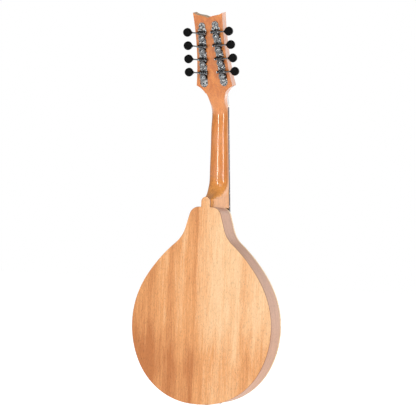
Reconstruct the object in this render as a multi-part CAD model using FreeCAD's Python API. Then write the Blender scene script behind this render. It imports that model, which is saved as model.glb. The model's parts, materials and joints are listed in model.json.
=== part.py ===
"""Flat-backed eight-string mandolin with an arched top, as separate pieces.

Millimetres. +Z runs up the neck, the strings face -Y and the back faces +Y. The origin is on the
outer face of the back, on the centreline, where the body is widest. The bass side is -X.
"""
import FreeCAD, Part
import os
from math import sin, cos, tan, radians, sqrt, pi

V = FreeCAD.Vector
Placement = FreeCAD.Placement
Rotation = FreeCAD.Rotation

# ---- driving dimensions: body ----
TAIL_Z = -134.0           # tail end of the body
JOINT_Z = 201.4           # top of the body, where the neck meets it by the twelfth fret
OVERHANG = 0.3            # the plates stand this far outside the ribs
BACK_THICK = 3.0
RIB_THICK = 2.6
RIM_DEPTH = 47.5          # back face to the front face of the top at its edge
TOP_THICK = 4.0
GLUE_LINE = 0.15
ARCH = 15.0               # crest of the arched top over its edge
ARCH_HALF_WIDTH = 118.0
ARCH_UP = 150.0           # arch length from the widest point towards the neck
ARCH_DOWN = 123.0         # and towards the tail
# One side of the outline from the tail: tangent arcs as (radius, turn in degrees); minus is concave.
OUTLINE_ARCS = [(212.0, 4.0), (118.5, 59.5), (149.5, 58.5), (260.0, 18.0), (-52.0, -34.0)]
SHOULDER_RADIUS = 17.5
TONGUE_WIDTH = 16.4       # tongue of the back plate over the heel
TONGUE_LENGTH = 17.2
BACK_ROUND = 0.7          # rounding of the back plate's rim
SOUND_HOLE_Z = 98.0
SOUND_HOLE_HALF = (26.0, 17.0)
ROSETTE_BAND = (4.0, 9.0) # distances of the rosette's edges outside the sound hole
ROSETTE_DEPTH = 1.2
LINING_WIDTH = 4.5
LINING_HEIGHT = 9.0

# ---- driving dimensions: neck ----
SCALE = 350.0
NECK_ANGLE = 4.5          # the neck leans this far towards the back, in degrees from +Z
HEAD_ANGLE = 19.9         # and the headstock this far
NUT_Z = 374.0
NUT_Y = -53.0             # front face of the fretboard at the nut
NUT_HALF = 14.2
JOINT_HALF = 18.6
BOARD_THICK = 6.0
BOARD_LENGTH = 244.0
FRETS = 20
NECK_DEPTH_NUT = 19.0     # fretboard included
NECK_DEPTH_HEEL = 22.0
NUT_THICK = 4.0
NUT_RISE = 2.0            # nut over the fretboard

# ---- driving dimensions: headstock and tuners ----
HEAD_THICK = 16.0
HEAD_TOP = 167.5          # corner tips on the front face, along the headstock from the nut
HEAD_NOTCH = 158.5
HEAD_LEAN = 9.0           # the outline is cut leaning this far up towards the back face, degrees
HEAD_TIP_HALF = 26.7
HEAD_WAIST = (26.0, 106.0)     # half width and distance from the nut at the narrowest, in front
HEAD_CORNER = (33.0, 39.8)     # the same at the wide lower corners
WING_RADIUS = 31.5        # concave curve from the neck to the lower corners
HEAD_PLATE_LOW = 26.0     # where the flat-backed part of the headstock begins
TUNER_PITCH = 23.3
PLATE_CENTRE_S = {-1: 95.3, 1: 92.7}   # middle of the four posts along the headstock, by side
PLATE_CENTRE_X = 15.5
PLATE_SPLAY = 3.6         # each plate leans out towards the nut, degrees
PLATE_HALF_WIDTH = 6.6
PLATE_THICK = 1.2
SHAFT_HEIGHT = 5.2        # worm axis over the back of the headstock
GEAR_TEETH = 14
GEAR_PITCH_R = 5.7
WORM_PITCH_R = 2.3
GEAR_THICK = 2.2
SHAFT_R = 1.15
POST_R = 3.0
POST_RISE = 14.0          # post over the front of the headstock
BUTTON_OUT = 25.2         # button centre from the post line
BUTTON_R = 7.35
BUTTON_THICK = 8.0
RUNNING_GAP = 0.05

# ---- driving dimensions: bridge, strings and tailpiece ----
BRIDGE_Z = 25.0
BRIDGE_WIDTH = 112.0
STUD_X = 31.0
STUD_R = 2.0
SADDLE_TRAVEL = 1.5
STRING_R = [0.46, 0.46, 0.30, 0.30, 0.19, 0.19, 0.14, 0.14]   # bass to treble
NUT_COURSE = 7.9          # course spacing at the nut
BRIDGE_COURSE = 12.4
PAIR_NUT = 2.1            # spacing within a course
PAIR_BRIDGE = 2.6
TAIL_STRING_Z = -72.0
TAIL_STRING_Y = -61.0
STRING_AT_NUT = 1.5       # string centre over the fretboard at the nut
ACTION_AT_BRIDGE = 3.2    # string centre over the fretboard plane at the bridge
STRING_FIT = 0.02         # groove over string radius


def save(name, shape):
    shape.exportStep("parts/%s.step" % name)


def box(x0, x1, y0, y1, z0, z1):
    return Part.makeBox(x1 - x0, y1 - y0, z1 - z0, V(x0, y0, z0))


def rod(start, end, radius):
    line = end - start
    return Part.makeCylinder(radius, line.Length, start, line)


def placed(shape, placement):
    copy = shape.copy()
    copy.Placement = placement.multiply(copy.Placement)
    return copy


def prism_y(wire, y0, y1):
    face = Part.Face(wire)
    face.translate(V(0, y0, 0))
    return face.extrude(V(0, y1 - y0, 0))


def mirror_x(shape):
    return shape.mirror(V(0, 0, 0), V(1, 0, 0))


def soften(shape, edges, radius):
    """Round the edges if the kernel can; a plain edge is kept where it can't."""
    try:
        rounded = shape.makeFillet(radius, edges)
        if rounded.isValid() and rounded.Volume > 0:
            return rounded
    except Part.OCCError:
        pass
    print("edge left plain", radius)
    return shape


# ---- local frames ----
NECK_FRAME = Placement(V(0, NUT_Y, NUT_Z), Rotation(V(1, 0, 0), -NECK_ANGLE))
HEAD_ORIGIN = NECK_FRAME.multVec(V(0, BOARD_THICK, 0))
HEAD_FRAME = Placement(HEAD_ORIGIN, Rotation(V(1, 0, 0), -HEAD_ANGLE))


def plate_frame(side):
    """x outward, z out of the back of the headstock; side is -1 for bass and +1 for treble."""
    splay = radians(PLATE_SPLAY)
    outward = V(side * cos(splay), 0, sin(splay))
    along = V(side * sin(splay), 0, -cos(splay)) * side
    turn = HEAD_FRAME.Rotation
    origin = HEAD_FRAME.multVec(V(side * PLATE_CENTRE_X, HEAD_THICK, PLATE_CENTRE_S[side]))
    axes = [turn.multVec(axis) for axis in (outward, along, V(0, 1, 0))]
    return Placement(origin, Rotation(axes[0], axes[1], axes[2], "ZXY"))


# ---- body outline ----
def outline_edges(offset=0.0):
    """Edges of one half from the tail to the centre of the top edge, moved outward by offset."""
    x, z, heading = 0.0, TAIL_Z - offset, 0.0
    edges = []

    def add_arc(radius, turn):
        nonlocal x, z, heading
        points = []
        for part in (0.0, 0.5, 1.0):
            angle = radians(heading + turn * part)
            start = radians(heading)
            points.append(V(x + radius * (sin(angle) - sin(start)), 0,
                            z + radius * (cos(start) - cos(angle))))
        edges.append(Part.Arc(*points).toShape())
        x, z, heading = points[2].x, points[2].z, heading + turn

    def add_line(end_x, end_z):
        nonlocal x, z
        edges.append(Part.makeLine(V(x, 0, z), V(end_x, 0, end_z)))
        x, z = end_x, end_z

    for radius, turn in OUTLINE_ARCS:
        add_arc(radius + offset, turn)
    shoulder = SHOULDER_RADIUS + offset
    slope = radians(heading)
    rise = JOINT_Z + offset - z - shoulder * (cos(slope) + 1.0)
    length = rise / sin(slope)
    add_line(x + length * cos(slope), z + length * sin(slope))
    add_arc(shoulder, 180.0 - heading)
    add_line(0.0, z)
    return edges


def outline(offset=0.0):
    half = outline_edges(offset)
    other = [mirror_x(edge) for edge in half]
    return Part.Wire(Part.__sortEdges__(half + other))


# ---- arched top ----
def arch_height(x, z):
    reach = ARCH_UP if z > 0 else ARCH_DOWN
    inside = 1.0 - (x / ARCH_HALF_WIDTH) ** 2 - (z / reach) ** 2
    return ARCH * inside ** 2 if inside > 0 else 0.0


def arch_solid(depth, shift):
    """The volume from the arched surface, moved by shift, to depth behind it."""
    across = [-140 + 10 * step for step in range(29)]
    up = [-145 + 10 * step for step in range(37)]
    rows = [[V(x, -RIM_DEPTH - arch_height(x, z) + shift, z) for z in up] for x in across]
    surface = Part.BSplineSurface()
    surface.interpolate(rows)
    return surface.toShape().extrude(V(0, depth, 0))


def oval(grow=0.0):
    """Outline of the sound hole, grown by a distance."""
    half_x, half_z = SOUND_HOLE_HALF
    ellipse = Part.Ellipse(V(0, 0, SOUND_HOLE_Z), half_x + grow, half_z + grow)
    ellipse.Axis = V(0, 1, 0)
    ellipse.XAxis = V(1, 0, 0)
    return Part.Wire(ellipse.toShape())


def tongue_outline():
    """Round-ended tongue of the back plate, overlapping the plate below the joint."""
    half, low = TONGUE_WIDTH / 2, JOINT_Z - 12
    shoulder, tip = JOINT_Z + TONGUE_LENGTH - half, JOINT_Z + TONGUE_LENGTH
    return Part.Wire([
        Part.makeLine(V(half, 0, low), V(half, 0, shoulder)),
        Part.Arc(V(half, 0, shoulder), V(0, 0, tip), V(-half, 0, shoulder)).toShape(),
        Part.makeLine(V(-half, 0, shoulder), V(-half, 0, low)),
        Part.makeLine(V(-half, 0, low), V(half, 0, low))])


def body_shapes():
    nodes = {}
    back = prism_y(outline(), -BACK_THICK, 0).fuse(prism_y(tongue_outline(), -BACK_THICK, 0))
    back = back.removeSplitter()
    rim = [edge for edge in back.Edges if abs(edge.BoundBox.YMax) < 1e-6]
    nodes["back_plate"] = soften(back, rim, BACK_ROUND)

    top = arch_solid(TOP_THICK, 0.0).common(prism_y(outline(), -80, 0)).cut(prism_y(oval(), -80, 0))
    ring = prism_y(oval(ROSETTE_BAND[1]), -80, 0).cut(prism_y(oval(ROSETTE_BAND[0]), -80, 0))
    nodes["rosette"] = arch_solid(ROSETTE_DEPTH, 0.0).common(ring)
    nodes["top_plate"] = top.cut(nodes["rosette"])

    front = -RIM_DEPTH + TOP_THICK
    ribs = prism_y(outline(-OVERHANG), front, -BACK_THICK)
    ribs = ribs.cut(prism_y(outline(-OVERHANG - RIB_THICK), front, -BACK_THICK))
    nodes["side_bass"] = ribs.common(box(-200, 0, -100, 10, -200, 300))
    nodes["side_treble"] = ribs.common(box(0, 200, -100, 10, -200, 300))

    inside = prism_y(outline(-OVERHANG - RIB_THICK), front, -BACK_THICK)
    nodes["neck_block"] = inside.common(box(-40, 40, -60, 0, JOINT_Z - 34, JOINT_Z))
    nodes["tail_block"] = inside.common(box(-32, 32, -60, 0, TAIL_Z, TAIL_Z + 20))
    blocks = nodes["neck_block"].fuse(nodes["tail_block"])
    lining = inside.cut(prism_y(outline(-OVERHANG - RIB_THICK - LINING_WIDTH), -60, 0)).cut(blocks)
    keep = box(-200, 200, -BACK_THICK - LINING_HEIGHT, 10, -200, 300)
    keep = keep.fuse(box(-200, 200, front + GLUE_LINE, front + LINING_HEIGHT, -200, 300))
    nodes["linings"] = lining.common(keep)

    hollow = prism_y(outline(-OVERHANG - RIB_THICK - LINING_WIDTH - 1.0), -80, -BACK_THICK)
    bars = []
    for side in (-1, 1):
        bar = box(-3, 3, -70, -20, -95, 95)
        bar.rotate(V(0, 0, 0), V(0, 1, 0), side * 6)
        bar.translate(V(side * 24, 0, -12))
        bars.append(bar.common(arch_solid(8, TOP_THICK)).common(hollow))
    for z in (-75, -5, 70):
        bars.append(box(-130, 130, -BACK_THICK - 9, -BACK_THICK, z - 4, z + 4).common(hollow))
    nodes["braces"] = Part.makeCompound(bars)
    return nodes


# ---- neck and headstock ----
def board_half_width(down):
    return NUT_HALF + (JOINT_HALF - NUT_HALF) * down / (SCALE / 2)


HEEL_START = 127.0        # below the nut, where the heel's curve leaves the neck
HEEL_END = 155.0
HEEL_DEPTH = 62.4
HEEL_TURN = 80.0          # degrees that the heel's curve turns through
HEEL_STEPS = 9
NECK_ROUND = 2.1          # 2 is an ellipse, more is squarer


def heel_curve(part):
    """Distance below the nut and depth of the back along the heel's quarter-ellipse."""
    turn, full = radians(HEEL_TURN * part), radians(HEEL_TURN)
    down = HEEL_START + (HEEL_END - HEEL_START) * sin(turn) / sin(full)
    depth = NECK_DEPTH_HEEL + (HEEL_DEPTH - NECK_DEPTH_HEEL) * (1 - cos(turn)) / (1 - cos(full))
    return down, depth


def neck_section(up, front, back, half, back_half, squareness):
    """Closed section of the neck: flat in front, round behind, with a tapering heel."""
    points = []
    steps = 12
    for step in range(2 * steps + 1):
        angle = pi / 2 * (step - steps) / steps
        across = abs(sin(angle)) ** (2 / squareness)
        deep = cos(angle) ** (2 / squareness) if abs(angle) < pi / 2 - 1e-9 else 0.0
        width = half + (back_half - half) * deep
        side = -1 if angle < 0 else 1
        points.append(V(side * width * across, front + (back - front) * deep, up))
    curve = Part.BSplineCurve()
    curve.interpolate(points)
    return Part.Wire([curve.toShape(), Part.makeLine(points[-1], points[0])])


def blend(a, b, part):
    part = min(max(part, 0.0), 1.0)
    part = part * part * (3 - 2 * part)
    return a + (b - a) * part


PROUD = 1.5               # spare wood on the front of the neck, cut away flat afterwards


def wing_half(up):
    """Half width of the neck and headstock at a distance above the nut, up to the corners."""
    neck_half = NUT_HALF + 0.1
    corner_half, corner_up = HEAD_CORNER
    run = sqrt(WING_RADIUS ** 2 - (neck_half + WING_RADIUS - corner_half) ** 2)
    along = max(up - (corner_up - run), 0.0)
    return neck_half + WING_RADIUS - sqrt(WING_RADIUS ** 2 - along ** 2)


def neck_loft():
    sections = []
    for up in (30.0, 24.0, 18.0, 12.0, 7.0):
        half = wing_half(up)
        squareness = blend(3.0, 14.0, (up - 4.0) / 26.0)
        section = neck_section(0, -PROUD, HEAD_THICK / cos(radians(HEAD_LEAN)), half, half, squareness)
        leaning = Placement(V(0, 0, up), Rotation(V(1, 0, 0), HEAD_LEAN))
        sections.append(placed(section, HEAD_FRAME.multiply(leaning)))
    for down in (6, 30, 60, 90, 112):
        half = board_half_width(down)
        depth = NECK_DEPTH_NUT + (NECK_DEPTH_HEEL - NECK_DEPTH_NUT) * down / HEEL_START
        section = neck_section(-down, BOARD_THICK - PROUD, depth, half, half, NECK_ROUND)
        sections.append(placed(section, NECK_FRAME))
    for step in range(HEEL_STEPS + 1):
        part = step / HEEL_STEPS
        down, depth = heel_curve(part)
        sections.append(heel_section(down, depth, part))
    root = [heel_section(HEEL_END, HEEL_DEPTH, 1.0),
            heel_section(HEEL_END + 30, HEEL_DEPTH + 30 * tan(radians(NECK_ANGLE)), 1.0)]
    return Part.makeLoft(sections, True, False).fuse(Part.makeLoft(root, True, True))


def heel_section(down, depth, part):
    half = board_half_width(down)
    back_half = blend(half, TONGUE_WIDTH / 2 + 0.2, part)
    squareness = blend(NECK_ROUND, 8.0, part)
    section = neck_section(-down, BOARD_THICK - PROUD, depth, half, back_half, squareness)
    return placed(section, NECK_FRAME)


def headstock():
    """Plate with curved flanks, its end cut to a notch between two corner tips."""
    low_half = wing_half(HEAD_PLATE_LOW)
    corner = V(HEAD_CORNER[0], 0, HEAD_CORNER[1])
    middle_up = (HEAD_PLATE_LOW + HEAD_CORNER[1]) / 2
    wing = Part.Arc(V(low_half, 0, HEAD_PLATE_LOW), V(wing_half(middle_up), 0, middle_up), corner)
    tip = V(HEAD_TIP_HALF, 0, HEAD_TOP)
    dip = V(13.5, 0, HEAD_TOP - 4.6)
    half = [
        wing.toShape(),
        Part.Arc(corner, V(HEAD_WAIST[0], 0, HEAD_WAIST[1]), tip).toShape(),
        Part.Arc(tip, V(20.5, 0, HEAD_TOP - 3.2), dip).toShape(),
        Part.Arc(dip, V(6.2, 0, HEAD_TOP - 6.2), V(0, 0, HEAD_NOTCH)).toShape(),
    ]
    other = [mirror_x(edge) for edge in half]
    low_edge = Part.makeLine(V(-low_half, 0, HEAD_PLATE_LOW), V(low_half, 0, HEAD_PLATE_LOW))
    face = Part.Face(Part.Wire(Part.__sortEdges__(half + other + [low_edge])))
    return face.extrude(V(0, HEAD_THICK, HEAD_THICK * tan(radians(HEAD_LEAN))))


def tuner_stations():
    """Plate-frame y of each worm shaft, from the nut end of the bass plate."""
    return [TUNER_PITCH * (index - 1.5) for index in range(4)]


CENTRE_DISTANCE = GEAR_PITCH_R + WORM_PITCH_R
BUSHING_R = 4.3


def post_axis_points():
    """For each tuner: side, frame, and the plate-frame y of its post."""
    stations = []
    for side in (-1, 1):
        frame = plate_frame(side)
        for y in tuner_stations():
            stations.append((side, frame, y))
    return stations


EXTENSION_END = 232.0     # below the nut, the wood that carries the fretboard over the top
ROD_DEPTH = BOARD_THICK + 4.5
ROD_R = 2.4


def tapered_block(start, end, inset, front, back):
    """A block as wide as the fretboard less an inset on each side, in the neck's frame."""
    corners = []
    for down, side in ((start, 1), (end, 1), (end, -1), (start, -1)):
        corners.append(V(side * (board_half_width(down) - inset), 0, -down))
    return prism_y(Part.makePolygon(corners + corners[:1]), front, back)


def neck_wood():
    """Neck, heel and headstock in one piece, bored for the posts and cut for the truss rod."""
    front = -RIM_DEPTH + TOP_THICK
    body = prism_y(outline(), -120, front).fuse(prism_y(outline(-OVERHANG), front, -BACK_THICK))
    neck = neck_loft().common(box(-60, 60, -120, -BACK_THICK, JOINT_Z - 10, NUT_Z + 60)).cut(body)
    neck = neck.fuse(placed(headstock(), HEAD_FRAME))
    under_nut = placed(box(-40, 40, -30, BOARD_THICK, -300, NUT_THICK), NECK_FRAME)
    head_front = placed(box(-40, 40, -30, 0, -40, 200), HEAD_FRAME)
    above_nut = placed(box(-40, 40, -60, 20, NUT_THICK - 0.01, 90),
                       Placement(HEAD_ORIGIN, NECK_FRAME.Rotation))
    neck = neck.cut(under_nut).cut(head_front.common(above_nut))

    block = tapered_block(SCALE / 2 - 4, EXTENSION_END, 0.8, BOARD_THICK, BOARD_THICK + 45)
    scoop = Part.makeCylinder(14, 80, V(-40, BOARD_THICK + 17.5, -EXTENSION_END - 2), V(1, 0, 0))
    block = placed(block.cut(scoop), NECK_FRAME)
    over_top = block.cut(arch_solid(60, 0.0)).common(box(-60, 60, -120, -RIM_DEPTH, 100, JOINT_Z))
    neck = neck.fuse(over_top).removeSplitter()

    channel = box(-ROD_R - 0.2, ROD_R + 0.2, BOARD_THICK, ROD_DEPTH + 2.7, -SCALE / 2 + 5, 14)
    pocket = box(-4.5, 4.5, -3, 7, NUT_THICK, 30)
    neck = neck.cut(placed(channel, NECK_FRAME)).cut(placed(pocket, HEAD_FRAME))
    for side, frame, y in post_axis_points():
        bore = rod(V(0, y, -HEAD_THICK - 2), V(0, y, 2), BUSHING_R)
        neck = neck.cut(placed(bore, frame))
    return neck


def truss_cover():
    low, tip, thick = NUT_THICK + 0.6, 36.0, 2.0
    edges = [
        Part.makeLine(V(-8, 0, low), V(8, 0, low)),
        Part.Arc(V(8, 0, low), V(5.6, 0, 20), V(0, 0, tip)).toShape(),
        Part.Arc(V(0, 0, tip), V(-5.6, 0, 20), V(-8, 0, low)).toShape()]
    return placed(prism_y(Part.Wire(edges), -thick, 0), HEAD_FRAME)


def neck_shapes():
    nodes = {"truss_rod_cover": truss_cover()}
    truss = rod(V(0, ROD_DEPTH, -SCALE / 2 + 6), V(0, ROD_DEPTH, 7), ROD_R)
    nodes["truss_rod"] = placed(truss, NECK_FRAME)
    board = tapered_block(0, BOARD_LENGTH, 0.0, 0, BOARD_THICK)
    long_edges = [edge for edge in board.Edges
                  if edge.BoundBox.ZLength > 100 and edge.BoundBox.YMax < 0.01]
    board = soften(board, long_edges, 0.5)
    frets, slots, dots = [], [], []
    for number in range(1, FRETS + 1):
        down = fret_position(number)
        half = board_half_width(down)
        slots.append(box(-half - 1, half + 1, -1, 1.6, -down - 0.28, -down + 0.28))
        frets.append(fret(half - 0.3, down))
        if number in (3, 5, 7, 10, 12, 15, 17):
            middle = -(down + fret_position(number - 1)) / 2
            spread = (-8, 8) if number == 12 else (0,)
            dots += [rod(V(x, 0, middle), V(x, 1.5, middle), 2.5) for x in spread]
            side_dot = rod(V(-half, 3, middle), V(-half + 2.5, 3, middle), 1.0)
            dots.append(side_dot)
    board = board.cut(Part.makeCompound(slots))
    dots = Part.makeCompound([dot.common(board) for dot in dots])
    nodes["neck"] = neck_wood().cut(placed(board, NECK_FRAME))
    nodes["fretboard"] = placed(board.cut(dots), NECK_FRAME)
    nodes["fret_markers"] = placed(dots, NECK_FRAME)
    nodes["frets"] = placed(Part.makeCompound(frets), NECK_FRAME)
    return nodes


def fret_position(number):
    return SCALE * (1 - 2 ** (-number / 12))


def fret(half, down):
    """Crown on a tang: a low arch over the board and a blade in its slot."""
    crown = Part.makeCylinder(1.15, 2 * half, V(-half, 0.25, -down), V(1, 0, 0))
    crown = crown.common(box(-half, half, -2, 0, -down - 2, -down + 2))
    tang = box(-half, half, 0, 1.6, -down - 0.28, -down + 0.28)
    return crown.fuse(tang)


# ---- strings, nut, bridge and tailpiece ----
def string_x(number, course, pair):
    """x of a string from its course spacing and the spacing within a course."""
    middle = (number // 2 - 1.5) * course
    return middle + (pair / 2 if number % 2 else -pair / 2)


BRIDGE_TOP = NECK_FRAME.multVec(V(0, -ACTION_AT_BRIDGE, -(NUT_Z - BRIDGE_Z) / cos(radians(NECK_ANGLE))))
POST_STRING_RISE = 5.0    # string over the front of the headstock where it meets its post


def string_points(number):
    """Tail hook, bridge, nut and the side of its post."""
    hook = V(string_x(number, 6.4, 3.2), TAIL_STRING_Y, TAIL_STRING_Z)
    bridge = V(string_x(number, BRIDGE_COURSE, PAIR_BRIDGE), BRIDGE_TOP.y, BRIDGE_Z)
    nut_front = NECK_FRAME.multVec(V(string_x(number, NUT_COURSE, PAIR_NUT), -STRING_AT_NUT, 0.2))
    nut_back = NECK_FRAME.multVec(V(string_x(number, NUT_COURSE, PAIR_NUT), -STRING_AT_NUT + 0.5, NUT_THICK))
    side = -1 if number < 4 else 1
    from_nut = number if side < 0 else 7 - number
    frame = plate_frame(side)
    along = -side * tuner_stations()[from_nut]
    reach = POST_R + STRING_R[number] + 0.03
    post = frame.multVec(V(-reach, along, -HEAD_THICK - POST_STRING_RISE))
    return [hook, bridge, nut_front, nut_back, post]


def strings():
    solids = []
    for number, radius in enumerate(STRING_R):
        points = string_points(number)
        solid = rod(points[0], points[1], radius)
        for a, b in zip(points[1:-1], points[2:]):
            solid = solid.fuse([Part.makeSphere(radius, a), rod(a, b, radius)])
        solids.append(solid)
    return solids


def nut_shape():
    bottom = BOARD_THICK
    corners = [V(side * NUT_HALF, 0, up) for side, up in
               ((1, 0), (1, NUT_THICK), (-1, NUT_THICK), (-1, 0))]
    nut = prism_y(Part.makePolygon(corners + corners[:1]), -NUT_RISE, bottom)
    front = [edge for edge in nut.Edges
             if edge.BoundBox.YMax < -NUT_RISE + 0.01 and edge.BoundBox.XLength > 5]
    nut = placed(soften(nut, front, 0.8), NECK_FRAME)
    for number, radius in enumerate(STRING_R):
        points = string_points(number)
        direction = points[3] - points[2]
        direction.normalize()
        groove = radius + STRING_FIT
        slot = rod(points[2] - direction * 2, points[3] + direction * 2, groove)
        mouth = placed(box(-groove, groove, -3, 0, -3, 8), Placement(points[2], NECK_FRAME.Rotation))
        nut = nut.cut(slot).cut(mouth)
    return nut


def bridge_shapes():
    nodes = {}
    crest = -RIM_DEPTH - arch_height(0, BRIDGE_Z)
    base_front = crest - 8.0
    half = BRIDGE_WIDTH / 2
    arcs = Part.Wire([
        Part.makeLine(V(-half, -RIM_DEPTH, 0), V(half, -RIM_DEPTH, 0)),
        Part.makeLine(V(half, -RIM_DEPTH, 0), V(half, crest - 1.0, 0)),
        Part.Arc(V(half, crest - 1.0, 0), V(44, base_front + 1.0, 0), V(38, base_front, 0)).toShape(),
        Part.makeLine(V(38, base_front, 0), V(-38, base_front, 0)),
        Part.Arc(V(-38, base_front, 0), V(-44, base_front + 1.0, 0), V(-half, crest - 1.0, 0)).toShape(),
        Part.makeLine(V(-half, crest - 1.0, 0), V(-half, -RIM_DEPTH, 0))])
    base = Part.Face(arcs).extrude(V(0, 0, 12))
    base.translate(V(0, 0, BRIDGE_Z - 6))
    base = base.cut(arch_solid(60, 0.0))
    studs, saddle_bores = [], []
    saddle_low = BRIDGE_TOP.y + 10.0
    for side in (-1, 1):
        low = V(side * STUD_X, base_front + 5.0, BRIDGE_Z)
        high = V(side * STUD_X, saddle_low - 6.0, BRIDGE_Z)
        studs.append(rod(low, high, STUD_R))
        saddle_bores.append(rod(V(side * STUD_X, saddle_low + 1, BRIDGE_Z),
                                V(side * STUD_X, saddle_low - 6.0 - SADDLE_TRAVEL - 0.4, BRIDGE_Z),
                                STUD_R + RUNNING_GAP))
        wheel = Part.makeCylinder(7.0, 2.4, V(side * STUD_X, saddle_low + 0.05, BRIDGE_Z), V(0, 1, 0))
        grooves = []
        for index in range(24):
            angle = 2 * pi * index / 24
            spot = V(side * STUD_X + 7.1 * cos(angle), saddle_low - 1, BRIDGE_Z + 7.1 * sin(angle))
            grooves.append(Part.makeCylinder(0.45, 6, spot, V(0, 1, 0)))
        wheel = wheel.cut(Part.makeCompound(grooves))
        wheel = wheel.cut(rod(low, high, STUD_R + RUNNING_GAP))
        nodes["thumbwheel_bass" if side < 0 else "thumbwheel_treble"] = wheel
    nodes["bridge_base"] = base.cut(Part.makeCompound(studs))
    nodes["bridge_studs"] = Part.makeCompound(studs)
    saddle = box(-42, 42, BRIDGE_TOP.y - 1.0, saddle_low, BRIDGE_Z - 3.5, BRIDGE_Z + 3.5)
    ends = [edge for edge in saddle.Edges
            if edge.BoundBox.ZLength > 6 and edge.BoundBox.YMax < saddle_low - 5]
    saddle = soften(saddle, ends, 5.0)
    slopes = Part.makePolygon([V(0, BRIDGE_TOP.y - 2, BRIDGE_Z + 0.8), V(0, BRIDGE_TOP.y + 3, BRIDGE_Z + 4),
                               V(0, BRIDGE_TOP.y - 2, BRIDGE_Z + 4), V(0, BRIDGE_TOP.y - 2, BRIDGE_Z + 0.8)])
    slope = Part.Face(slopes).extrude(V(100, 0, 0))
    slope.translate(V(-50, 0, 0))
    saddle = saddle.cut(slope).cut(Part.makeCompound(saddle_bores))
    for number, radius in enumerate(STRING_R):
        tail, over, nut = string_points(number)[:3]
        groove = radius + STRING_FIT
        saddle = saddle.cut(rod(tail + (over - tail) * 0.9, over, groove))
        saddle = saddle.cut(rod(over, over + (nut - over) * 0.05, groove))
        saddle = saddle.cut(Part.makeSphere(groove, over))
        mouth = Part.makePolygon([V(over.x + x, over.y + y, over.z) for x, y in
                                  ((-groove, -4), (groove, -4), (groove, 0), (-groove, 0), (-groove, -4))])
        for run in ((tail - over) * 0.1, (nut - over) * 0.05):
            saddle = saddle.cut(Part.Face(mouth).extrude(run))
    nodes["bridge_saddle"] = saddle
    return nodes


LEAF_HALF = 17.0
LEAF_Y = -58.0            # front face of the tailpiece leaf
SHEET = 1.2
COVER_Z = (TAIL_Z - SHEET, TAIL_STRING_Z + 11.0)


def tailpiece_shapes():
    nodes = {}
    flange = box(-13, 13, -RIM_DEPTH - 2, -14, TAIL_Z - SHEET, TAIL_Z)
    shelf = box(-LEAF_HALF, LEAF_HALF, LEAF_Y, LEAF_Y + SHEET, TAIL_Z - SHEET, TAIL_STRING_Z + 4)
    riser = box(-13, 13, LEAF_Y + SHEET, -RIM_DEPTH - 2, TAIL_Z - SHEET, TAIL_Z)
    hooks = []
    for number in range(8):
        x = string_points(number)[0].x
        hooks.append(rod(V(x, LEAF_Y, TAIL_STRING_Z - 1), V(x, TAIL_STRING_Y - 1.4, TAIL_STRING_Z - 1), 0.8))
    nodes["tailpiece_base"] = flange.fuse([shelf, riser] + hooks).removeSplitter()

    low, high = COVER_Z
    front = TAIL_STRING_Y - 4.5
    outer = box(-LEAF_HALF - 2.0, LEAF_HALF + 2.0, front, LEAF_Y + SHEET, low, high)
    crown = [edge for edge in outer.Edges if edge.BoundBox.YMax < front + 0.01]
    outer = soften(outer, crown, 2.2)
    inner = box(-LEAF_HALF - 0.8, LEAF_HALF + 0.8, front + SHEET, LEAF_Y + SHEET + 1, low - 1, high + 1)
    nodes["tailpiece_cover"] = outer.cut(inner)
    return nodes


# ---- tuners ----
def worm_shape():
    """Shaft and thread along +x, with the thread facing -y at x = 0."""
    pitch = 2 * pi * GEAR_PITCH_R / GEAR_TEETH
    turns = 3
    helix = Part.makeHelix(pitch, turns * pitch, WORM_PITCH_R)
    root, crest = WORM_PITCH_R - 0.9, WORM_PITCH_R + 0.6
    profile = Part.makePolygon([V(root, 0, -0.66), V(crest, 0, -0.3), V(crest, 0, 0.3),
                                V(root, 0, 0.66), V(root, 0, -0.66)])
    thread = Part.Wire(helix).makePipeShell([Part.Wire(profile)], True, True)
    core = Part.makeCylinder(WORM_PITCH_R - 0.8, turns * pitch + 1.4, V(0, 0, -0.7))
    worm = thread.fuse(core)
    worm.translate(V(0, 0, -turns * pitch / 2))
    worm.rotate(V(0, 0, 0), V(0, 1, 0), 90)
    worm.rotate(V(0, 0, 0), V(1, 0, 0), 90)
    shaft = rod(V(-9.0, 0, 0), V(BUTTON_OUT - BUTTON_R + 4, 0, 0), SHAFT_R)
    return worm.fuse(shaft)


def button_shape():
    disc = Part.makeCylinder(BUTTON_R, BUTTON_THICK, V(BUTTON_OUT, 0, -BUTTON_THICK / 2))
    disc = soften(disc, [edge for edge in disc.Edges if edge.BoundBox.ZLength < 0.01], 2.6)
    collar = rod(V(BUTTON_OUT - BUTTON_R - 1.2, 0, 0), V(BUTTON_OUT, 0, 0), 2.1)
    shaft = rod(V(0, 0, 0), V(BUTTON_OUT - BUTTON_R + 4, 0, 0), SHAFT_R)
    return disc.fuse(collar).cut(shaft)


def gear_shape():
    """Gear about z with a gap facing +y, its middle at z = 0."""
    points = []
    for tooth in range(GEAR_TEETH):
        middle = pi / 2 + (tooth + 0.5) * 2 * pi / GEAR_TEETH
        for radius, half_width in ((4.75, -0.85), (6.3, -0.36), (6.3, 0.36), (4.75, 0.85)):
            angle = middle + half_width / radius
            points.append(V(radius * cos(angle), radius * sin(angle), -GEAR_THICK / 2))
    gear = Part.Face(Part.makePolygon(points + points[:1])).extrude(V(0, 0, GEAR_THICK))
    return gear.cut(Part.makeCylinder(1.6, 10, V(0, 0, -5)))


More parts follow.
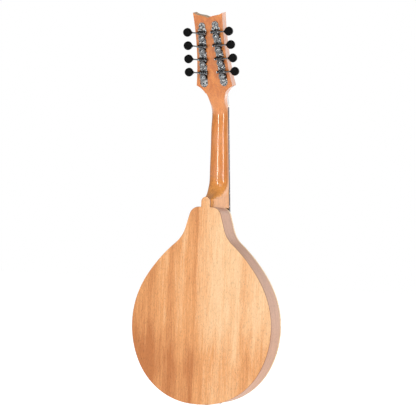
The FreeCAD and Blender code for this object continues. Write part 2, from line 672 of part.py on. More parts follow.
def post_shape():
    """Post about z; z = 0 is the back of the headstock, and the string end is at -z."""
    low = -HEAD_THICK - POST_RISE
    gear_low = SHAFT_HEIGHT - GEAR_THICK / 2
    post = rod(V(0, 0, low), V(0, 0, gear_low), POST_R)
    post = post.fuse(rod(V(0, 0, gear_low), V(0, 0, gear_low + GEAR_THICK), 1.6))
    hole_z = -HEAD_THICK - POST_STRING_RISE - 5.5
    post = post.cut(rod(V(-5, 0, hole_z), V(5, 0, hole_z), 0.8))
    rim = [edge for edge in post.Edges if abs(edge.BoundBox.ZMax - low) < 0.01]
    post = soften(post, rim, 0.8)
    head_low = gear_low + GEAR_THICK
    dome = Part.makeSphere(4.6, V(0, 0, head_low - 2.4)).common(box(-5, 5, -5, 5, head_low, head_low + 5))
    slot = box(-5, 5, -0.4, 0.4, head_low + 1.4, head_low + 5)
    return Part.makeCompound([post, dome.cut(slot)])


UPPER_SCREW = 54.5        # end screws from the middle of the plate
LOWER_SCREW = -47.5
EAR_R = 2.6


def plate_shape(gear_side):
    """Tuner plate with ears; gear_side is -1 or +1, the way from each worm to its gear."""
    half = PLATE_HALF_WIDTH
    end = -gear_side
    plate = box(-half, half, -47.0, 47.0, 0, PLATE_THICK)
    lobes = []
    for x, y, radius in ((0, UPPER_SCREW, 6.0), (-4.2, 47.5, 3.4), (4.2, 47.5, 3.4),
                         (0, LOWER_SCREW, 5.6), (-3.6, -46.5, 3.4), (3.6, -46.5, 3.4)):
        lobes.append(Part.makeCylinder(radius, PLATE_THICK, V(x, end * y, 0)))
    plate = plate.fuse(lobes)
    scallops = []
    for station in tuner_stations():
        for side in (-1, 1):
            waist = station - gear_side * (CENTRE_DISTANCE + TUNER_PITCH / 2 + 3.4)
            scallops.append(Part.makeCylinder(3.0, 4, V(side * (half + 1.4), waist, -1)))
    plate = plate.cut(Part.makeCompound(scallops)).removeSplitter()
    for y in tuner_stations():
        worm_y = y - gear_side * CENTRE_DISTANCE
        for x0, x1 in ((-8.0, -6.3), (5.2, 6.9)):
            tab = box(min(x0, 0), max(x1, 0), worm_y - EAR_R, worm_y + EAR_R, 0, PLATE_THICK)
            ear = box(x0, x1, worm_y - EAR_R, worm_y + EAR_R, 0, SHAFT_HEIGHT)
            ear = ear.fuse(rod(V(x0, worm_y, SHAFT_HEIGHT), V(x1, worm_y, SHAFT_HEIGHT), EAR_R))
            plate = plate.fuse([tab, ear])
        hole = rod(V(-10, worm_y, SHAFT_HEIGHT), V(10, worm_y, SHAFT_HEIGHT), SHAFT_R + RUNNING_GAP)
        plate = plate.cut(hole)
        plate = plate.cut(rod(V(0, y, -1), V(0, y, 3), POST_R + RUNNING_GAP))
    for x, y in screw_spots(gear_side):
        plate = plate.cut(rod(V(x, y, -1), V(x, y, 3), 1.1))
    return plate


def screw_spots(gear_side):
    end = -gear_side
    between = [end * (TUNER_PITCH * (index - 1) + 2.4) for index in range(3)]
    return [(0, end * UPPER_SCREW), (0, end * LOWER_SCREW)] + [(0, y) for y in between]


def screw(spot, direction, sheet):
    """Round-head wood screw: spot is on the sheet's outer face and direction points outward."""
    direction = direction.normalize()
    head = Part.makeSphere(3.0, V(0, 0, -1.9)).common(box(-4, 4, -4, 4, 0, 3))
    head = head.cut(box(-4, 4, -0.3, 0.3, 0.6, 3))
    shank = rod(V(0, 0, -sheet - 8), V(0, 0, 0), 1.1)
    turn = Rotation(V(0, 0, 1), direction)
    return placed(head.fuse(shank), Placement(spot, turn))


def tuner_shapes():
    nodes = {}
    worm, button, gear, post = worm_shape(), button_shape(), gear_shape(), post_shape()
    bushings, screws = [], []
    names = {-1: "bass", 1: "treble"}
    for side in (-1, 1):
        frame = plate_frame(side)
        gear_side = 1 if side > 0 else -1
        nodes["tuner_plate_" + names[side]] = placed(plate_shape(gear_side), frame)
        for x, y in screw_spots(gear_side):
            spot = frame.multVec(V(x, y, PLATE_THICK))
            screws.append(screw(spot, frame.Rotation.multVec(V(0, 0, 1)), PLATE_THICK))
    for index, (side, frame, y) in enumerate(post_axis_points()):
        gear_side = 1 if side > 0 else -1
        from_nut = index % 4 + 1 if side < 0 else 4 - index % 4
        name = "%s_%d" % (names[side], from_nut)
        half_turn = Rotation(V(1, 0, 0), 180 if gear_side > 0 else 0)
        at_worm = Placement(V(0, y - gear_side * CENTRE_DISTANCE, SHAFT_HEIGHT), half_turn)
        turn = Rotation(V(0, 0, 1), 180 if gear_side > 0 else 0)
        nodes["worm_" + name] = placed(worm, frame.multiply(at_worm))
        nodes["button_" + name] = placed(button, frame.multiply(at_worm))
        nodes["gear_" + name] = placed(gear, frame.multiply(Placement(V(0, y, SHAFT_HEIGHT), turn)))
        nodes["post_" + name] = placed(post, frame.multiply(Placement(V(0, y, 0), Rotation())))
        sleeve = rod(V(0, 0, -HEAD_THICK), V(0, 0, -HEAD_THICK + 9), BUSHING_R)
        sleeve = sleeve.fuse(rod(V(0, 0, -HEAD_THICK - 1.2), V(0, 0, -HEAD_THICK), BUSHING_R + 1.4))
        sleeve = sleeve.cut(rod(V(0, 0, -HEAD_THICK - 3), V(0, 0, 0), POST_R + RUNNING_GAP))
        bushings.append(placed(sleeve, frame.multiply(Placement(V(0, y, 0), Rotation()))))
    nodes["post_bushings"] = Part.makeCompound(bushings)
    return nodes, screws


def build():
    os.makedirs("parts", exist_ok=True)
    nodes = body_shapes()
    nodes.update(neck_shapes())
    nodes["strings"] = Part.makeCompound(strings())
    nodes["nut"] = nut_shape()
    nodes.update(bridge_shapes())
    nodes.update(tailpiece_shapes())
    tuners, screws = tuner_shapes()
    nodes.update(tuners)
    for x, y in ((-8, -20), (8, -20), (0, -32)):
        screws.append(screw(V(x, y, TAIL_Z - SHEET), V(0, 0, -1), SHEET))
    for x, up in ((-5.0, 9.0), (5.0, 9.0), (0.0, 29.0)):
        spot = HEAD_FRAME.multVec(V(x, -2.0, up))
        screws.append(screw(spot, HEAD_FRAME.Rotation.multVec(V(0, -1, 0)), 2.0))
    nodes["wood_screws"] = Part.makeCompound(screws)
    for name in ("neck", "side_bass", "side_treble", "tail_block", "tailpiece_base", "truss_rod_cover"):
        nodes[name] = nodes[name].cut(nodes["wood_screws"])
    return nodes


NODES = build()
for node_name, node_shape in sorted(NODES.items()):
    save(node_name, node_shape)
print(len(NODES), "nodes")
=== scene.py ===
"""Looks of the flat-backed mandolin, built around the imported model.

Metres, in the model's own frame: +Z up the neck, +Y out of the back, -X the bass side.
"""
import json
from math import cos, pi, radians, sin

import bpy
from mathutils import Matrix, Vector


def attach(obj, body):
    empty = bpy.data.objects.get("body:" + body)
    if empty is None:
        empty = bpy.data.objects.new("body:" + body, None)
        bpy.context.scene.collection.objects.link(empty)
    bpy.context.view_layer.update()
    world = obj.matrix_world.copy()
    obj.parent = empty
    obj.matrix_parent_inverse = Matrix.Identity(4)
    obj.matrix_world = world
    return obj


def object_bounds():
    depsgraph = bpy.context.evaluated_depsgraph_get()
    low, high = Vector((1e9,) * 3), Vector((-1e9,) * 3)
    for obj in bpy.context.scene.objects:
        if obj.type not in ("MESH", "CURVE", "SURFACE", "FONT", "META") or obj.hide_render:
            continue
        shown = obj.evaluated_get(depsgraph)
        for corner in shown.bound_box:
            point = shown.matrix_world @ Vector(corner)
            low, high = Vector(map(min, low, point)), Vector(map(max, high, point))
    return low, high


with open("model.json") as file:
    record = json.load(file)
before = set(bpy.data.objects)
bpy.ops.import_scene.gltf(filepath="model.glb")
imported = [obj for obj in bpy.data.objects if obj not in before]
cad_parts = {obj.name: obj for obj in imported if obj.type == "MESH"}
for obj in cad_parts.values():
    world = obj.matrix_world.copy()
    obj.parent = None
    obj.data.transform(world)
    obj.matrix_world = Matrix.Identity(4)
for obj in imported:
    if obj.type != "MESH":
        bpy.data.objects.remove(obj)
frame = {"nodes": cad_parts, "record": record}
CAD_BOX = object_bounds()
NODES = frame["nodes"]
MM = 0.001


# ---- camera, lights and stage ----
CAMERA_YAW = radians(23.0)        # from straight behind towards the bass side
CAMERA_ROLL = radians(2.39)
CAMERA_DISTANCE = 3.5
CAMERA_AIM = Vector((0.0, 0.0, 0.1973))
CAMERA_SLIDE = (0.0046, 0.0021)   # along the picture's right and up
LENS_MM = 178.7
SENSOR_MM = 36.0

BACK = Vector((-sin(CAMERA_YAW), cos(CAMERA_YAW), 0.0))
RIGHT = Vector((-cos(CAMERA_YAW), -sin(CAMERA_YAW), 0.0))
UP = Vector((0.0, 0.0, 1.0))


def make_camera():
    right = RIGHT * cos(CAMERA_ROLL) + UP * sin(CAMERA_ROLL)
    up = UP * cos(CAMERA_ROLL) - RIGHT * sin(CAMERA_ROLL)
    place = CAMERA_AIM + BACK * CAMERA_DISTANCE + right * CAMERA_SLIDE[0] + up * CAMERA_SLIDE[1]
    data = bpy.data.cameras.new("camera")
    data.lens = LENS_MM
    data.sensor_width = SENSOR_MM
    camera = bpy.data.objects.new("camera", data)
    bpy.context.scene.collection.objects.link(camera)
    turn = Matrix((right, up, BACK)).transposed()
    camera.matrix_world = Matrix.Translation(place) @ turn.to_4x4()
    bpy.context.scene.camera = camera


def area_light(name, place, size, power):
    data = bpy.data.lights.new(name, "AREA")
    data.shape = "RECTANGLE"
    data.size, data.size_y = size
    data.energy = power
    light = bpy.data.objects.new(name, data)
    bpy.context.scene.collection.objects.link(light)
    way = (Vector(LIGHT_AIM) - Vector(place)).to_track_quat("-Z", "Y")
    light.matrix_world = Matrix.Translation(place) @ way.to_matrix().to_4x4()


LIGHT_AIM = (0.0, 0.0, 0.2)
LIGHTS = [   # name, place, width and height, watts
    ("strip_left", (0.31, 2.18, 0.40), (0.17, 1.5), 23),
    ("strip_right", (-2.12, 1.13, 0.35), (0.17, 1.5), 20),
    ("key", (-0.9, 2.0, 2.1), (1.5, 1.5), 15),
    ("front", (-1.1, -2.3, 0.7), (2.2, 2.2), 26)]


def make_lights():
    """Two tall strips that draw lines down the neck, a soft top box, and a box on the strings' side."""
    for name, place, size, power in LIGHTS:
        area_light(name, place, size, power)


def make_world():
    """White paper to the camera, and to everything else a soft room that is darker below."""
    world = bpy.data.worlds.new("studio")
    bpy.context.scene.world = world
    world.use_nodes = True
    tree = world.node_tree
    tree.nodes.clear()
    output = tree.nodes.new("ShaderNodeOutputWorld")
    mix = tree.nodes.new("ShaderNodeMixShader")
    path = tree.nodes.new("ShaderNodeLightPath")
    paper = tree.nodes.new("ShaderNodeBackground")
    paper.inputs["Color"].default_value = (1, 1, 1, 1)
    room = tree.nodes.new("ShaderNodeBackground")
    room.inputs["Strength"].default_value = 0.26
    coords = tree.nodes.new("ShaderNodeTexCoord")
    parts = tree.nodes.new("ShaderNodeSeparateXYZ")
    ramp = tree.nodes.new("ShaderNodeValToRGB")
    ramp.color_ramp.elements[0].position = 0.30
    ramp.color_ramp.elements[0].color = (0.45, 0.45, 0.46, 1)
    ramp.color_ramp.elements[1].position = 0.75
    ramp.color_ramp.elements[1].color = (1, 1, 1, 1)
    half = tree.nodes.new("ShaderNodeMath")
    half.operation = "MULTIPLY_ADD"
    half.inputs[1].default_value = 0.5
    half.inputs[2].default_value = 0.5
    tree.links.new(coords.outputs["Generated"], parts.inputs[0])
    tree.links.new(parts.outputs["Z"], half.inputs[0])
    tree.links.new(half.outputs[0], ramp.inputs["Fac"])
    tree.links.new(ramp.outputs["Color"], room.inputs["Color"])
    tree.links.new(path.outputs["Is Camera Ray"], mix.inputs["Fac"])
    tree.links.new(room.outputs[0], mix.inputs[1])
    tree.links.new(paper.outputs[0], mix.inputs[2])
    tree.links.new(mix.outputs[0], output.inputs["Surface"])


def make_floor():
    mesh = bpy.data.meshes.new("floor")
    reach, gap = 6.0, 0.03
    level = CAD_BOX[0][2] - gap
    corners = [(x * reach, y * reach, level) for x, y in ((-1, -1), (1, -1), (1, 1), (-1, 1))]
    mesh.from_pydata(corners, [], [(0, 1, 2, 3)])
    floor = bpy.data.objects.new("floor", mesh)
    bpy.context.scene.collection.objects.link(floor)
    material = bpy.data.materials.new("floor_paper")
    material.use_nodes = True
    shader = material.node_tree.nodes["Principled BSDF"]
    shader.inputs["Base Color"].default_value = (0.5, 0.5, 0.5, 1)
    shader.inputs["Roughness"].default_value = 0.9
    shader.inputs["Emission Color"].default_value = (1, 1, 1, 1)
    shader.inputs["Emission Strength"].default_value = 0.92
    mesh.materials.append(material)


# ---- material graphs ----
class Graph:
    """A material's nodes, added by short calls; a socket or a plain value goes into each input."""

    def __init__(self, name):
        self.material = bpy.data.materials.new(name)
        self.material.use_nodes = True
        self.tree = self.material.node_tree
        self.shader = self.tree.nodes["Principled BSDF"]

    def put(self, socket, value):
        if isinstance(value, bpy.types.NodeSocket):
            self.tree.links.new(value, socket)
        elif socket.type == "RGBA" and len(value) == 3:
            socket.default_value = (*value, 1.0)
        else:
            socket.default_value = value

    def add(self, kind, inputs, out=0, **settings):
        node = self.tree.nodes.new("ShaderNode" + kind)
        for key, value in settings.items():
            setattr(node, key, value)
        for key, value in inputs.items():
            self.put(node.inputs[key], value)
        return node.outputs[out]

    def math(self, operation, a, b=0.0, c=0.0, clamp=False):
        node = self.tree.nodes.new("ShaderNodeMath")
        node.operation = operation
        node.use_clamp = clamp
        for socket, value in zip(node.inputs, (a, b, c)):
            self.put(socket, value)
        return node.outputs[0]

    def mix(self, factor, a, b, blend="MIX"):
        node = self.tree.nodes.new("ShaderNodeMix")
        node.data_type = "RGBA"
        node.blend_type = blend
        self.put(node.inputs[0], factor)
        self.put(node.inputs[6], a)
        self.put(node.inputs[7], b)
        return node.outputs[2]

    def ramp(self, factor, stops, smooth=False):
        node = self.tree.nodes.new("ShaderNodeValToRGB")
        node.color_ramp.interpolation = "EASE" if smooth else "LINEAR"
        elements = node.color_ramp.elements
        while len(elements) < len(stops):
            elements.new(0.5)
        for element, (position, colour) in zip(elements, stops):
            element.position = position
            shade = (colour,) * 3 if isinstance(colour, (int, float)) else colour
            element.color = (*shade, 1.0)
        self.put(node.inputs[0], factor)
        return node.outputs[0]

    def stretched(self, coords, size_mm):
        """Coordinates in which one unit is size_mm along x, y and z."""
        scale = tuple(1.0 / (size * MM) for size in size_mm)
        return self.add("Mapping", {"Vector": coords, "Scale": scale})

    def noise(self, coords, size_mm, detail=3.0, rough=0.5, seed=0.0):
        vector = self.stretched(coords, size_mm)
        return self.add("TexNoise", {"Vector": vector, "W": seed, "Scale": 1.0, "Detail": detail,
                                     "Roughness": rough}, noise_dimensions="4D")

    def finish(self, colour, rough, bump=None, depth_mm=0.05, **fixed):
        self.put(self.shader.inputs["Base Color"], colour)
        self.put(self.shader.inputs["Roughness"], rough)
        if bump is not None:
            normal = self.add("Bump", {"Height": bump, "Strength": 1.0, "Distance": depth_mm * MM})
            self.tree.links.new(normal, self.shader.inputs["Normal"])
        for key, value in fixed.items():
            self.put(self.shader.inputs[key.replace("_", " ")], value)
        return self.material


def position(graph):
    return graph.add("TexCoord", {}, out="Object")


def split(graph, vector):
    node = graph.tree.nodes.new("ShaderNodeSeparateXYZ")
    graph.put(node.inputs[0], vector)
    return node.outputs["X"], node.outputs["Y"], node.outputs["Z"]


RIB_REACH = 0.128         # from the middle of the body to the rib where it is widest
BACK_WIDTH = 0.256
BACK_LENGTH = 0.335
TAIL_PART = 0.40          # how much of the back's length lies below the origin
ROSETTE_CENTRE = 0.098
ROSETTE_INNER = (0.030, 0.021)
ROSETTE_WIDTH = 0.005
ROSETTE_CHIPS = 30.0      # chips per radian
YEAR_RING = 1.25 * MM
HEEL_FADE = (0.258, 0.232)     # heights between which the heel grows paler with painted sheen
HEAD_FADE = (0.380, 0.405)     # heights between which the headstock takes over from the neck
END_FADE = (0.505, 0.515)      # painted reflection on the end face only above these


def rib_position(graph):
    """Coordinates along the bent rib: x is the depth and z the way round the outline."""
    x, y, z = split(graph, position(graph))
    angle = graph.math("ARCTAN2", x, z)
    around = graph.math("MULTIPLY", angle, RIB_REACH)
    return graph.add("CombineXYZ", {"X": y, "Y": 0.0, "Z": around})


def grain(graph, coords, seed, ribbon_mm):
    """Mahogany-like figure: a tone from 0 dark to 1 light, fine fibres, and short dark pores."""
    drift = graph.noise(coords, (60, 60, 220), 2.0, 0.5, seed)
    bend = graph.math("MULTIPLY_ADD", drift, 0.012, -0.006)
    shift = graph.add("CombineXYZ", {"X": bend, "Y": bend, "Z": 0.0})
    warped = graph.add("VectorMath", {0: coords, 1: shift}, operation="ADD")
    ribbons = graph.noise(warped, (ribbon_mm, ribbon_mm, ribbon_mm * 14), 2.5, 0.55, seed + 1)
    streaks = graph.noise(warped, (1.7, 1.7, 45), 4.0, 0.65, seed + 2)
    fibres = graph.noise(warped, (0.42, 0.42, 7.5), 2.0, 0.6, seed + 3)
    pores = graph.noise(warped, (0.45, 0.45, 4.0), 1.0, 0.5, seed + 4)
    tone = graph.math("MULTIPLY_ADD", streaks, 0.9, graph.math("MULTIPLY", ribbons, 0.6))
    return graph.math("SUBTRACT", tone, 0.25), fibres, pores


def wood(name, tones, seed, ribbon_mm=12.0, coords=position, rough=(0.42, 0.55), coat=0.0, coat_rough=0.2,
         depth_mm=0.05, figure=None, edge=None, shine_level=0.5):
    """Light, middle and dark tones by grain; figure adds to the tone, edge recolours; both can paint light
    and shade.
    """
    graph = Graph(name)
    tone, fibres, pores = grain(graph, coords(graph), seed, ribbon_mm)
    if figure is not None:
        tone = figure(graph, tone)
    light, middle, dark = tones
    colour = graph.ramp(tone, [(0.12, dark), (0.5, middle), (0.92, light)])
    colour = graph.mix(1.0, colour, graph.ramp(fibres, [(0.30, 0.82), (0.70, 1.12)]), "MULTIPLY")
    pore_mask = graph.ramp(pores, [(0.56, 1.0), (0.69, 0.58)])
    colour = graph.mix(1.0, colour, pore_mask, "MULTIPLY")
    if edge is not None:
        colour = edge(graph, colour)
    height = graph.math("MULTIPLY_ADD", pore_mask, 0.8, graph.math("MULTIPLY", fibres, 0.35))
    shine = graph.add("MapRange", {"Value": fibres, "To Min": rough[0], "To Max": rough[1]})
    return graph.finish(colour, shine, height, depth_mm, Coat_Weight=coat, Coat_Roughness=coat_rough,
                        Specular_IOR_Level=shine_level)


BACK_BANDS_AND_SHEEN = [   # across the back from the bass edge to the treble edge: tone over the average; figure, a seam and a painted sheen on the bass side
    (0.00, 0.28), (0.13, 0.36), (0.18, 0.18), (0.24, 0.36), (0.40, 0.38), (0.48, 0.26), (0.540, 0.08),
    (0.548, -0.10), (0.60, -0.02), (0.64, 0.14), (0.69, -0.04), (0.72, -0.16), (0.77, 0.08), (0.81, 0.04),
    (0.87, -0.24), (0.90, -0.12), (1.00, -0.20)]
# What the tone loses, by height from the tail: painted shade where the top light's sheen does not reach the
# lower back.
BACK_PAINTED_SHADE = [(0.0, 0.22), (0.22, 0.27), (0.42, 0.02), (0.80, 0.0), (1.0, 0.04)]


def back_figure_and_shade(graph, tone):
    """Bands along the grain with a seam near the middle and a painted sheen on the bass side, and painted
    shade darker towards the tail.
    """
    where = position(graph)
    x, _, z = split(graph, where)
    wander = graph.noise(where, (30, 30, 90), 3.0, 0.6, 9.0)
    across = graph.math("MULTIPLY_ADD", x, 1 / BACK_WIDTH, 0.5)
    across = graph.math("MULTIPLY_ADD", wander, 0.03, graph.math("SUBTRACT", across, 0.015))
    bands_and_sheen = graph.ramp(across, [(spot, 0.5 + level) for spot, level in BACK_BANDS_AND_SHEEN])
    up = graph.math("MULTIPLY_ADD", z, 1 / BACK_LENGTH, TAIL_PART)
    up = graph.math("MULTIPLY_ADD", wander, 0.45, graph.math("SUBTRACT", up, 0.225))
    # painted shade: the lower back darkens by height
    painted_shade = graph.ramp(up, BACK_PAINTED_SHADE)
    change = graph.math("SUBTRACT", graph.math("SUBTRACT", bands_and_sheen, 0.5), painted_shade)
    return graph.math("ADD", tone, change)


def rim_of(start, end, colour_after, line):
    """Recolours a plate's rim past a depth: a thin dark line of painted shade at the rounded edge, and then
    the colour of the sides.
    """
    def edge(graph, colour):
        _, y, _ = split(graph, position(graph))
        depth = graph.add("MapRange", {"Value": y, "From Min": start * MM, "From Max": end * MM})
        past = graph.ramp(depth, [(0.0, 0.0), (0.1, 1.0)])
        # painted shade line first, then the sides' own colour
        tint = graph.ramp(depth, [(0.0, line), (0.6, line), (0.75, colour_after)])
        return graph.mix(past, colour, tint)
    return edge


def fade(graph, value, ends):
    """0 where the value is at the first end, 1 at the second, and straight between."""
    return graph.add("MapRange", {"Value": value, "From Min": ends[0], "From Max": ends[1]})


def neck_tints_and_painted_light(graph, colour):
    """Painted sheen that makes the heel paler, a painted reflection that makes the end face pale, and a
    mottled, browner headstock.
    """
    _, _, z = split(graph, position(graph))
    # painted sheen: the heel turns paler and pinker
    heel = fade(graph, z, HEEL_FADE)
    colour = graph.mix(heel, colour, graph.mix(1.0, colour, (1.22, 1.42, 1.35), "MULTIPLY"))
    head = fade(graph, z, HEAD_FADE)
    mottle = graph.noise(position(graph), (9, 9, 16), 3.0, 0.6, 57.0)
    patches = graph.ramp(mottle, [(0.36, (0.78, 0.60, 0.32)), (0.60, (0.96, 0.88, 0.58))])
    colour = graph.mix(head, colour, graph.mix(1.0, colour, patches, "MULTIPLY"))
    # painted reflection of the light from above on the upward-facing end face
    _, _, up = split(graph, graph.add("TexCoord", {}, out="Normal"))
    end = graph.math("MULTIPLY", fade(graph, up, (0.80, 0.90)), fade(graph, z, END_FADE))
    return graph.mix(end, colour, (0.84, 0.56, 0.30))


def spruce(name):
    """Close, straight year rings across x, with pale silk across them."""
    graph = Graph(name)
    where = position(graph)
    x, _, _ = split(graph, where)
    drift = graph.noise(where, (80, 80, 260), 2.0, 0.5, 21.0)
    lines = graph.math("MULTIPLY_ADD", drift, 5.0, graph.math("DIVIDE", x, YEAR_RING))
    saw = graph.math("FRACT", lines)
    early, late, ring = (0.86, 0.66, 0.38), (0.80, 0.56, 0.29), (0.60, 0.36, 0.16)
    rings = graph.ramp(saw, [(0.0, early), (0.72, late), (0.93, ring), (1.0, early)])
    silk = graph.noise(where, (14, 14, 3), 2.0, 0.5, 22.0)
    colour = graph.mix(1.0, rings, graph.ramp(silk, [(0.3, 0.94), (0.7, 1.04)]), "MULTIPLY")
    fibres = graph.noise(where, (0.4, 0.4, 9.0), 2.0, 0.6, 23.0)
    colour = graph.mix(1.0, colour, graph.ramp(fibres, [(0.3, 0.93), (0.7, 1.04)]), "MULTIPLY")
    shine = graph.add("MapRange", {"Value": fibres, "To Min": 0.30, "To Max": 0.42})
    return graph.finish(colour, shine, saw, 0.012, Coat_Weight=0.35, Coat_Roughness=0.18)


def metal(name, colour, rough, seed, brushed=False):
    graph = Graph(name)
    where = position(graph)
    smudge = graph.noise(where, (6, 6, 6), 3.0, 0.6, seed)
    scratch = graph.noise(where, (0.12, 3.0, 0.12) if brushed else (0.5, 0.5, 0.5), 2.0, 0.6, seed + 1)
    tarnish = graph.ramp(smudge, [(0.30, tuple(0.84 * c for c in colour)), (0.62, colour)])
    shine = graph.add("MapRange", {"Value": smudge, "To Min": rough * 0.75, "To Max": rough * 1.35})
    return graph.finish(tarnish, shine, scratch, 0.006, Metallic=1.0)


def cast_plate(name, seed):
    """Bright metal with small near-black hollows of painted shade where the relief is low, as on stamped and
    lined tuner plates.
    """
    graph = Graph(name)
    where = position(graph)
    relief = graph.noise(where, (2.1, 2.1, 2.1), 2.0, 0.55, seed)
    # painted shade: the low parts of the relief turn near-black
    colour = graph.ramp(relief, [(0.42, (0.03, 0.03, 0.032)), (0.52, (0.26, 0.26, 0.26)),
                                 (0.68, (0.70, 0.70, 0.68))])
    shine = graph.add("MapRange", {"Value": relief, "To Min": 0.22, "To Max": 0.10})
    return graph.finish(colour, shine, relief, 0.30, Metallic=1.0)


def wound_string(name):
    graph = Graph(name)
    where = position(graph)
    wave = graph.add("TexWave", {"Vector": where, "Scale": 700.0, "Distortion": 0.0}, out="Fac",
                     bands_direction="Z")
    # painted light and shade: lighter on the wrap's ridges, darker in the grooves between its turns
    colour = graph.ramp(wave, [(0.2, (0.42, 0.33, 0.22)), (0.8, (0.78, 0.66, 0.48))])
    return graph.finish(colour, 0.3, wave, 0.05, Metallic=1.0)


def moulded(name, colour, rough, seed, coat=0.0, shine_level=0.5):
    graph = Graph(name)
    where = position(graph)
    haze = graph.noise(where, (4, 4, 4), 3.0, 0.5, seed)
    shade = graph.ramp(haze, [(0.3, tuple(0.8 * c for c in colour)), (0.7, tuple(1.15 * c for c in colour))])
    grit = graph.noise(where, (0.35, 0.35, 0.35), 2.0, 0.5, seed + 1)
    shine = graph.add("MapRange", {"Value": haze, "To Min": rough * 0.8, "To Max": rough * 1.3})
    return graph.finish(shade, shine, grit, 0.01, Coat_Weight=coat, Coat_Roughness=0.12,
                        Specular_IOR_Level=shine_level)


def pearl(name):
    graph = Graph(name)
    where = position(graph)
    swirl = graph.noise(where, (1.6, 1.6, 2.6), 4.0, 0.7, 41.0)
    colour = graph.ramp(swirl, [(0.3, (0.62, 0.72, 0.70)), (0.5, (0.90, 0.88, 0.84)),
                                (0.7, (0.80, 0.72, 0.76))])
    return graph.finish(colour, 0.22, swirl, 0.01, Coat_Weight=0.6, Coat_Roughness=0.08)


def rosette(name):
    """Rings about the oval hole: black and white lines round a chequered brown band."""
    graph = Graph(name)
    x, _, z = split(graph, position(graph))
    dz = graph.math("SUBTRACT", z, ROSETTE_CENTRE)
    angle = graph.math("ARCTAN2", dz, x)
    radius = graph.math("SQRT", graph.math("ADD", graph.math("POWER", x, 2.0), graph.math("POWER", dz, 2.0)))
    rim_x = graph.math("DIVIDE", x, ROSETTE_INNER[0])
    rim_z = graph.math("DIVIDE", dz, ROSETTE_INNER[1])
    squares = graph.math("ADD", graph.math("POWER", rim_x, 2.0), graph.math("POWER", rim_z, 2.0))
    level = graph.math("SQRT", squares)
    beyond = graph.math("MULTIPLY", graph.math("SUBTRACT", level, 1.0), graph.math("DIVIDE", radius, level))
    band = graph.math("DIVIDE", beyond, ROSETTE_WIDTH)
    black, white, brown, tan = (0.02, 0.015, 0.01), (0.82, 0.78, 0.66), (0.17, 0.07, 0.03), (0.50, 0.30, 0.14)
    rings = graph.ramp(band, [(0.0, black), (0.14, white), (0.24, black), (0.34, brown), (0.66, black),
                              (0.76, white), (0.88, black)])
    rings.node.color_ramp.interpolation = "CONSTANT"
    chips = graph.math("PINGPONG", graph.math("MULTIPLY", angle, ROSETTE_CHIPS), 1.0)
    above, below = graph.math("GREATER_THAN", band, 0.36), graph.math("LESS_THAN", band, 0.64)
    inside = graph.math("MULTIPLY", above, below)
    spot = graph.math("MULTIPLY", inside, graph.math("GREATER_THAN", chips, 0.5))
    colour = graph.mix(spot, rings, tan)
    return graph.finish(colour, 0.35, chips, 0.004, Coat_Weight=0.35, Coat_Roughness=0.18)


# ---- making pieces ----
# Millimetres; levels run from a worm's height towards the tip of its post.
POST_R = 3.0
STRING_LEVEL = 26.2       # where the string meets its post
HOLE_LEVEL = 31.7
WINDING_LENGTH = 5.0
WINDING_GAP = 0.03
LEAST_PITCH = 0.56
TURN_STEPS = 18
STRING_R = {"bass": (0.46, 0.46, 0.30, 0.30), "treble": (0.14, 0.14, 0.19, 0.19)}   # post 1 to post 4
WOUND_OVER = 0.25         # thicker strings are wound


def new_piece(name, mesh, body, material):
    piece = bpy.data.objects.new(name, mesh)
    bpy.context.scene.collection.objects.link(piece)
    mesh.materials.clear()
    mesh.materials.append(material)
    for polygon in mesh.polygons:
        polygon.use_smooth = True
    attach(piece, body)


def tube(points, radius, sides=10):
    """Vertices and faces of a round tube along points, with flat ends."""
    count = len(points)
    rings, faces = [], []
    normal = None
    for index, point in enumerate(points):
        before = points[max(index - 1, 0)]
        after = points[min(index + 1, count - 1)]
        way = (after - before).normalized()
        if normal is None:
            normal = way.orthogonal().normalized()
        normal = (normal - way * normal.dot(way)).normalized()
        side = way.cross(normal)
        for step in range(sides):
            angle = 2 * pi * step / sides
            rings.append(point + (normal * cos(angle) + side * sin(angle)) * radius)
    for ring in range(count - 1):
        for step in range(sides):
            here, there = ring * sides, (ring + 1) * sides
            following = (step + 1) % sides
            faces.append((here + step, here + following, there + following, there + step))
    faces.append(tuple(reversed(range(sides))))
    faces.append(tuple(range((count - 1) * sides, count * sides)))
    return rings, faces


def winding(body, joints, radius, material):
    """Turns of string round a post, from where the string meets it to the hole near its tip."""
    hub = Vector(joints["wind"]["pos_m"])
    axis = Vector(joints["wind"]["axis"]).normalized()
    inward = -Vector(joints["turn"]["axis"]).normalized()
    across = axis.cross(inward)
    reach = (POST_R + radius + WINDING_GAP) * MM
    pitch = max(2.1 * radius, LEAST_PITCH)
    steps = int(WINDING_LENGTH / pitch * TURN_STEPS)
    points = []
    for step in range(steps + 1):
        angle = 2 * pi * step / TURN_STEPS
        level = (STRING_LEVEL + pitch * step / TURN_STEPS) * MM
        points.append(hub - axis * level + (inward * cos(angle) + across * sin(angle)) * reach)
    last = points[-1] - hub
    sideways = last - axis * last.dot(axis)
    points.append(hub - axis * HOLE_LEVEL * MM + sideways * 0.5)
    vertices, faces = tube(points, radius * MM, sides=8)
    mesh = bpy.data.meshes.new("winding_" + body)
    mesh.from_pydata(vertices, [], faces)
    new_piece("winding_" + body, mesh, body, material)


def add_windings():
    joints = {joint["name"]: joint for joint in frame["record"]["behaviour"]["joints"]}
    for side, radii in STRING_R.items():
        for number, radius in enumerate(radii, 1):
            name = "%s_%d" % (side, number)
            pair = {kind: joints[kind + "_" + name] for kind in ("turn", "wind")}
            look = "wound" if radius > WOUND_OVER else "steel"
            winding("string_post_" + name, pair, radius, MATERIALS[look])


def paint(node, material):
    mesh = NODES[node].data
    mesh.materials.clear()
    mesh.materials.append(material)


SIDE_TONES = ((0.66, 0.385, 0.245), (0.56, 0.29, 0.175), (0.42, 0.19, 0.105))
# painted shade: the thin dark line at the back plate's rounded rim
RIM_SHADE_LINE = (0.17, 0.045, 0.02)

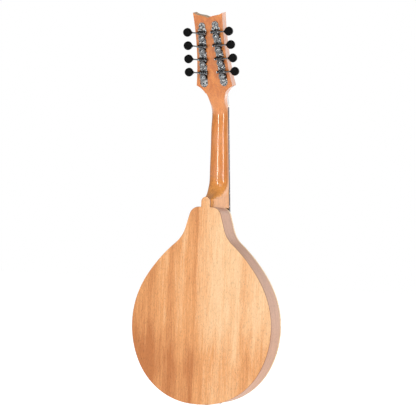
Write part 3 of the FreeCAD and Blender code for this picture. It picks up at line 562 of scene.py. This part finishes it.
MATERIALS = {
    "back": wood("back_mahogany", ((0.81, 0.505, 0.27), (0.68, 0.305, 0.108), (0.46, 0.155, 0.04)), 1.0,
                 ribbon_mm=10.0, rough=(0.42, 0.56), figure=back_figure_and_shade, shine_level=0.35,
                 edge=rim_of(-0.2, -3.0, SIDE_TONES[1], RIM_SHADE_LINE)),
    "side": wood("side_mahogany", SIDE_TONES, 31.0,
                 ribbon_mm=9.0, coords=rib_position, rough=(0.38, 0.52)),
    "neck": wood("neck_mahogany", ((0.74, 0.31, 0.095), (0.62, 0.21, 0.045), (0.42, 0.115, 0.02)), 51.0,
                 ribbon_mm=7.0, rough=(0.32, 0.42), coat=1.0, coat_rough=0.09, depth_mm=0.02,
                 shine_level=0.3, edge=neck_tints_and_painted_light),
    "inner": wood("inner_spruce", ((0.80, 0.63, 0.42), (0.74, 0.55, 0.34), (0.62, 0.42, 0.24)), 61.0,
                  ribbon_mm=6.0, rough=(0.6, 0.75)),
    "board": wood("board_rosewood", ((0.085, 0.035, 0.028), (0.045, 0.018, 0.015), (0.018, 0.007, 0.007)),
                  71.0, ribbon_mm=4.0, rough=(0.38, 0.52)),
    "top": spruce("top_spruce"),
    "nickel": metal("nickel_plate", (0.27, 0.275, 0.28), 0.15, 81.0),
    # a darker copy of the nickel: painted shade for the dark reflections on gears and worms
    "gear": metal("gear_nickel_painted_shade", (0.19, 0.195, 0.20), 0.18, 83.0),
    "plate": cast_plate("tuner_plate_relief", 101.0),
    "fret": metal("fret_metal", (0.72, 0.72, 0.68), 0.16, 85.0),
    "brass": metal("brass", (0.78, 0.56, 0.24), 0.25, 87.0, brushed=True),
    "steel": metal("string_steel", (0.72, 0.72, 0.72), 0.25, 89.0),
    "rod": metal("rod_steel", (0.40, 0.40, 0.40), 0.4, 91.0, brushed=True),
    "wound": wound_string("wound_string"),
    "button": moulded("button_black", (0.002, 0.002, 0.0022), 0.34, 93.0, shine_level=0.06),
    "cover": moulded("cover_black", (0.015, 0.015, 0.016), 0.18, 95.0, coat=0.5),
    "bone": moulded("nut_bone", (0.84, 0.78, 0.64), 0.32, 97.0),
    "pearl": pearl("marker_pearl"),
    "rosette": rosette("rosette_rings"),
}

NODE_MATERIAL = {
    "back_plate": "back", "side_bass": "side", "side_treble": "side", "top_plate": "top", "neck": "neck",
    "linings": "inner", "braces": "inner", "neck_block": "inner", "tail_block": "inner", "rosette": "rosette",
    "fretboard": "board", "bridge_base": "board", "bridge_saddle": "board", "frets": "fret",
    "fret_markers": "pearl", "nut": "bone", "truss_rod": "rod", "truss_rod_cover": "cover",
    "tuner_plate_bass": "plate", "tuner_plate_treble": "plate", "post_bushings": "nickel",
    "wood_screws": "nickel", "bridge_studs": "brass", "thumbwheel_bass": "brass",
    "thumbwheel_treble": "brass",
    "tailpiece_base": "nickel", "tailpiece_cover": "nickel", "strings": "steel",
}
TUNER_MATERIAL = {"button": "button", "worm": "gear", "gear": "gear", "post": "nickel"}

for side in ("bass", "treble"):
    for number in range(1, 5):
        for kind, material in TUNER_MATERIAL.items():
            NODE_MATERIAL["%s_%s_%d" % (kind, side, number)] = material
for node, material in NODE_MATERIAL.items():
    paint(node, MATERIALS[material])

add_windings()
make_camera()
make_lights()
make_world()
make_floor()
bpy.context.scene.view_settings.view_transform = "Standard"
